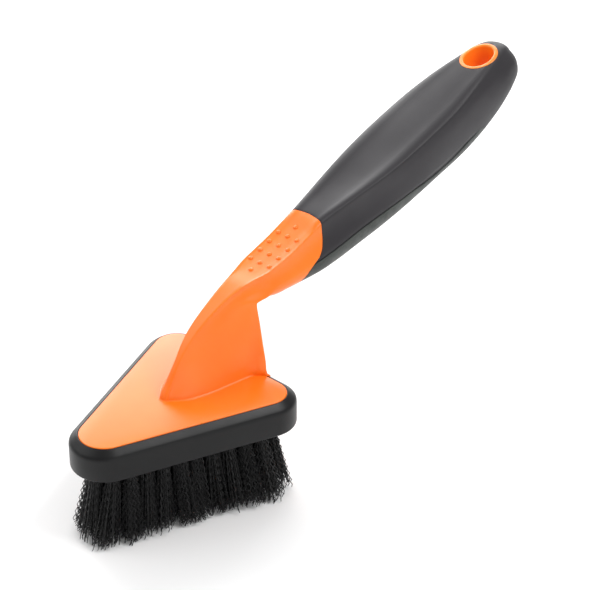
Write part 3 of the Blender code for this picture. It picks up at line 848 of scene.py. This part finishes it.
def evenly_along(inset, nose, heel, count):
    """Places spread evenly round a rounded triangle, from the middle of its nose."""
    bm = bmesh.new()
    head_loop(bm, inset, nose, heel, 0.0)
    points = [vert.co.xy for vert in bm.verts]
    bm.free()
    middle = NOSE_STEPS // 2
    points = points[middle:] + points[:middle + 1]
    lengths = [(b - a).length for a, b in zip(points, points[1:])]
    step = sum(lengths) / count
    for i in range(count):
        left, index = i * step, 0
        while left > lengths[index]:
            left -= lengths[index]
            index += 1
        yield points[index].lerp(points[index + 1], left / lengths[index])


def tuft_places():
    """Where each tuft is rooted, and where its middle ends, ring by ring."""
    for ring, count in enumerate(TUFT_RING_COUNTS):
        flare = FLARE_REACH * FLARE_RING_SHARE ** ring
        both = []
        for out in (0.0, flare):
            inset = TUFT_INSET + ring * TUFT_RING_STEP - out
            nose = max(NOSE_RADIUS - inset, TUFT_RING_ROUND)
            heel = max(TUFT_HEEL_ROUND - ring * TUFT_RING_STEP, TUFT_RING_ROUND)
            heel += FLARE_HEEL_SHARE * out
            both.append(list(evenly_along(inset, nose, heel, count)))
        yield from zip(*both)


def strand_bundle():
    """A mesh of a bundle of straight filaments, and the points of one, a step to a part."""
    bm = bmesh.new()
    bmesh.ops.create_circle(bm, cap_ends=True, segments=3, radius=1.0)
    tip = list(bm.faces)
    for _ in range(STRAND_PARTS):
        tip = bmesh.ops.extrude_discrete_faces(bm, faces=tip)["faces"]
        bmesh.ops.translate(bm, vec=(0, 0, -1), verts=tip[0].verts)
    bmesh.ops.holes_fill(bm, edges=[edge for edge in bm.edges if edge.is_boundary], sides=0)
    bmesh.ops.recalc_face_normals(bm, faces=bm.faces)
    one = bpy.data.meshes.new("filament")
    bm.to_mesh(one)
    bm.clear()
    for _ in range(STRANDS):
        bm.from_mesh(one)
    bundle = bpy.data.meshes.new("bundle")
    bm.to_mesh(bundle)
    bm.free()
    shape = np.array([vert.co for vert in one.vertices])
    bpy.data.meshes.remove(one)
    return bundle, shape


def build_tufts(materials):
    """Bundles of crimped filaments that splay towards their ragged ends."""
    bundle, shape = strand_bundle()
    bundle.shade_smooth()
    part = np.rint(-shape[:, 2])
    crimp = np.where(part % 2 == 0, 1.0, -1.0)
    later = (1 - FIRST_PART_SHARE) * (part - 1) / (STRAND_PARTS - 1)
    level = np.where(part > 0, FIRST_PART_SHARE + later, 0)
    k = np.arange(STRANDS)[:, None]
    distance = BUNDLE_RADIUS * np.sqrt((k + 0.5) / STRANDS)
    into = np.array(INTO_ROW)
    for number, (root, tip) in enumerate(tuft_places(), start=1):
        rng = np.random.default_rng(number)
        angle = k * GOLDEN_ANGLE + number
        reach = STRAND_REACH - rng.uniform(0, TRIM)
        reach = reach - RAGGED * rng.random((STRANDS, 1)) ** RAGGED_POWER
        spread = SPREAD + rng.uniform(*SPREAD_RANGE, (STRANDS, 1))
        wander = rng.normal(0, WANDER, (2, 1, 1))
        wander = wander + rng.normal(0, WANDER, (2, STRANDS, 1)).clip(-WANDER_MOST, WANDER_MOST)
        turn = rng.uniform(0, math.tau) + rng.normal(0, CRIMP_TURN, (STRANDS, 1))
        twist = rng.uniform(0, math.tau, (STRANDS, 1))
        size = rng.uniform(*CRIMP, (STRANDS, 1))
        down = level * reach
        t = np.clip((down - STRAND_STRAIGHT) / (STRAND_REACH - STRAND_STRAIGHT), 0, 1)
        bend = size * crimp * (t > 0)
        lean = tip - root
        fan = 1 + spread * t ** SPREAD_POWER
        across_x = shape[:, 0] * np.cos(twist) - shape[:, 1] * np.sin(twist)
        across_y = shape[:, 0] * np.sin(twist) + shape[:, 1] * np.cos(twist)
        x = (root.x + distance * np.cos(angle) * fan + (lean.x + wander[0]) * t ** LEAN_POWER
             + bend * np.cos(turn) + STRAND_RADIUS * across_x)
        y = (root.y + distance * np.sin(angle) * fan + (lean.y + wander[1]) * t ** LEAN_POWER
             + bend * np.sin(turn) + STRAND_RADIUS * across_y)
        z = np.maximum(STRAND_START - down, -PLATE_TOP + STRAND_CLEAR)
        points = np.stack([x, y, z], -1).reshape(-1, 3) @ into[:3, :3].T + into[:3, 3]
        mesh = bundle.copy()
        mesh.name = f"tuft_{number:02d}_strands"
        mesh.vertices.foreach_set("co", points.ravel())
        mesh.update()
        as_piece(mesh, mesh.name, materials["filament"], [f"tuft_{number:02d}"])
    bpy.data.meshes.remove(bundle)


# ---------------------------------------------------------------- stage

# In metres: half the side of the floor, and how far it lies under the frame's ground
FLOOR_HALF = 4.0
FLOOR_DROP = 0.0002


def build_floor():
    """A pale matte floor, just under the ends of the filaments."""
    bm = bmesh.new()
    bmesh.ops.create_grid(bm, x_segments=1, y_segments=1, size=FLOOR_HALF)
    mesh = bpy.data.meshes.new("floor")
    bm.to_mesh(mesh)
    bm.free()
    floor = bpy.data.objects.new("floor", mesh)
    bpy.context.scene.collection.objects.link(floor)
    material = bpy.data.materials.new("pale_matte_floor")
    material.use_nodes = True
    shader = material.node_tree.nodes["Principled BSDF"]
    shader.inputs["Base Color"].default_value = colour("F6F6F6")
    shader.inputs["Roughness"].default_value = 0.9
    shader.inputs["Specular IOR Level"].default_value = 0.2
    mesh.materials.append(material)
    floor.location.z = -FLOOR_DROP


# Softboxes round the brush: direction, distance, size in metres, power in watts
SOFTBOXES = {
    "rear_softbox": ((0.54, 0.67, 0.50), 1.6, (2.0, 1.3), 29.0),
    "top_softbox": ((0.24, -0.42, 0.87), 1.5, (0.7, 0.5), 11.5),
    "left_softbox": ((-0.48, 0.55, 0.68), 1.5, (1.2, 1.2), 7.0),
    "back_softbox": ((0.42, 0.88, 0.16), 1.5, (1.3, 0.7), 5.0),
    "front_softbox": ((-0.30, -0.90, 0.25), 1.5, (1.2, 0.6), 3.0),
}
AIM = Vector((0, 0, 0.06))
STUDIO_LIGHT = 0.47


def softbox(name, direction, distance, size, power):
    """A soft rectangular light that shines at the brush from a direction."""
    light = bpy.data.lights.new(name, "AREA")
    light.shape = "RECTANGLE"
    light.size, light.size_y = size
    light.energy = power
    lamp = bpy.data.objects.new(name, light)
    bpy.context.scene.collection.objects.link(lamp)
    lamp.location = AIM + Vector(direction).normalized() * distance
    lamp.rotation_mode = "QUATERNION"
    lamp.rotation_quaternion = (AIM - lamp.location).to_track_quat("-Z", "Y")


def build_light():
    """An even white studio, and the softboxes that shape the brush in it."""
    world = bpy.data.worlds.new("studio")
    bpy.context.scene.world = world
    world.use_nodes = True
    background = world.node_tree.nodes["Background"]
    background.inputs["Color"].default_value = colour("FFFFFF")
    background.inputs["Strength"].default_value = STUDIO_LIGHT
    for name, settings in SOFTBOXES.items():
        softbox(name, *settings)


# Camera: its angles in degrees, its lens in millimetres, and where it stands from the sharp
# corner of the nose, in metres to the right, up and back
CAMERA_AZIMUTH = -46.89
CAMERA_ELEVATION = 31.21
CAMERA_LENS = 120.0
CAMERA_RIGHT, CAMERA_UP, CAMERA_BACK = 0.09568, 0.06582, 0.757


def build_camera():
    """The camera, placed where the photograph was taken from."""
    azimuth, elevation = math.radians(CAMERA_AZIMUTH), math.radians(CAMERA_ELEVATION)
    right = Vector((math.cos(azimuth), math.sin(azimuth), 0))
    back = Vector((math.sin(azimuth) * math.cos(elevation),
                   -math.cos(azimuth) * math.cos(elevation), math.sin(elevation)))
    up = back.cross(right)
    data = bpy.data.cameras.new("camera")
    data.lens, data.sensor_width = CAMERA_LENS, 36.0
    data.clip_start, data.clip_end = 0.05, 20.0
    camera = bpy.data.objects.new("camera", data)
    bpy.context.scene.collection.objects.link(camera)
    corner = Vector((ORIGIN_X * MM, 0, PLATE_TOP * MM))
    place = corner + right * CAMERA_RIGHT + up * CAMERA_UP + back * CAMERA_BACK
    turned = Matrix((right, up, back)).transposed().to_4x4()
    camera.matrix_world = Matrix.Translation(place) @ turned
    bpy.context.scene.camera = camera


def main():
    bpy.context.scene.view_settings.view_transform = "Standard"
    materials = build_materials()
    build_plate(materials)
    build_neck(materials)
    build_grip(materials)
    build_pad(materials)
    build_bumper(materials)
    skin = skin_heights()
    build_eye(materials, skin)
    build_dots(materials, skin)
    build_tufts(materials)
    build_floor()
    build_light()
    build_camera()


main()
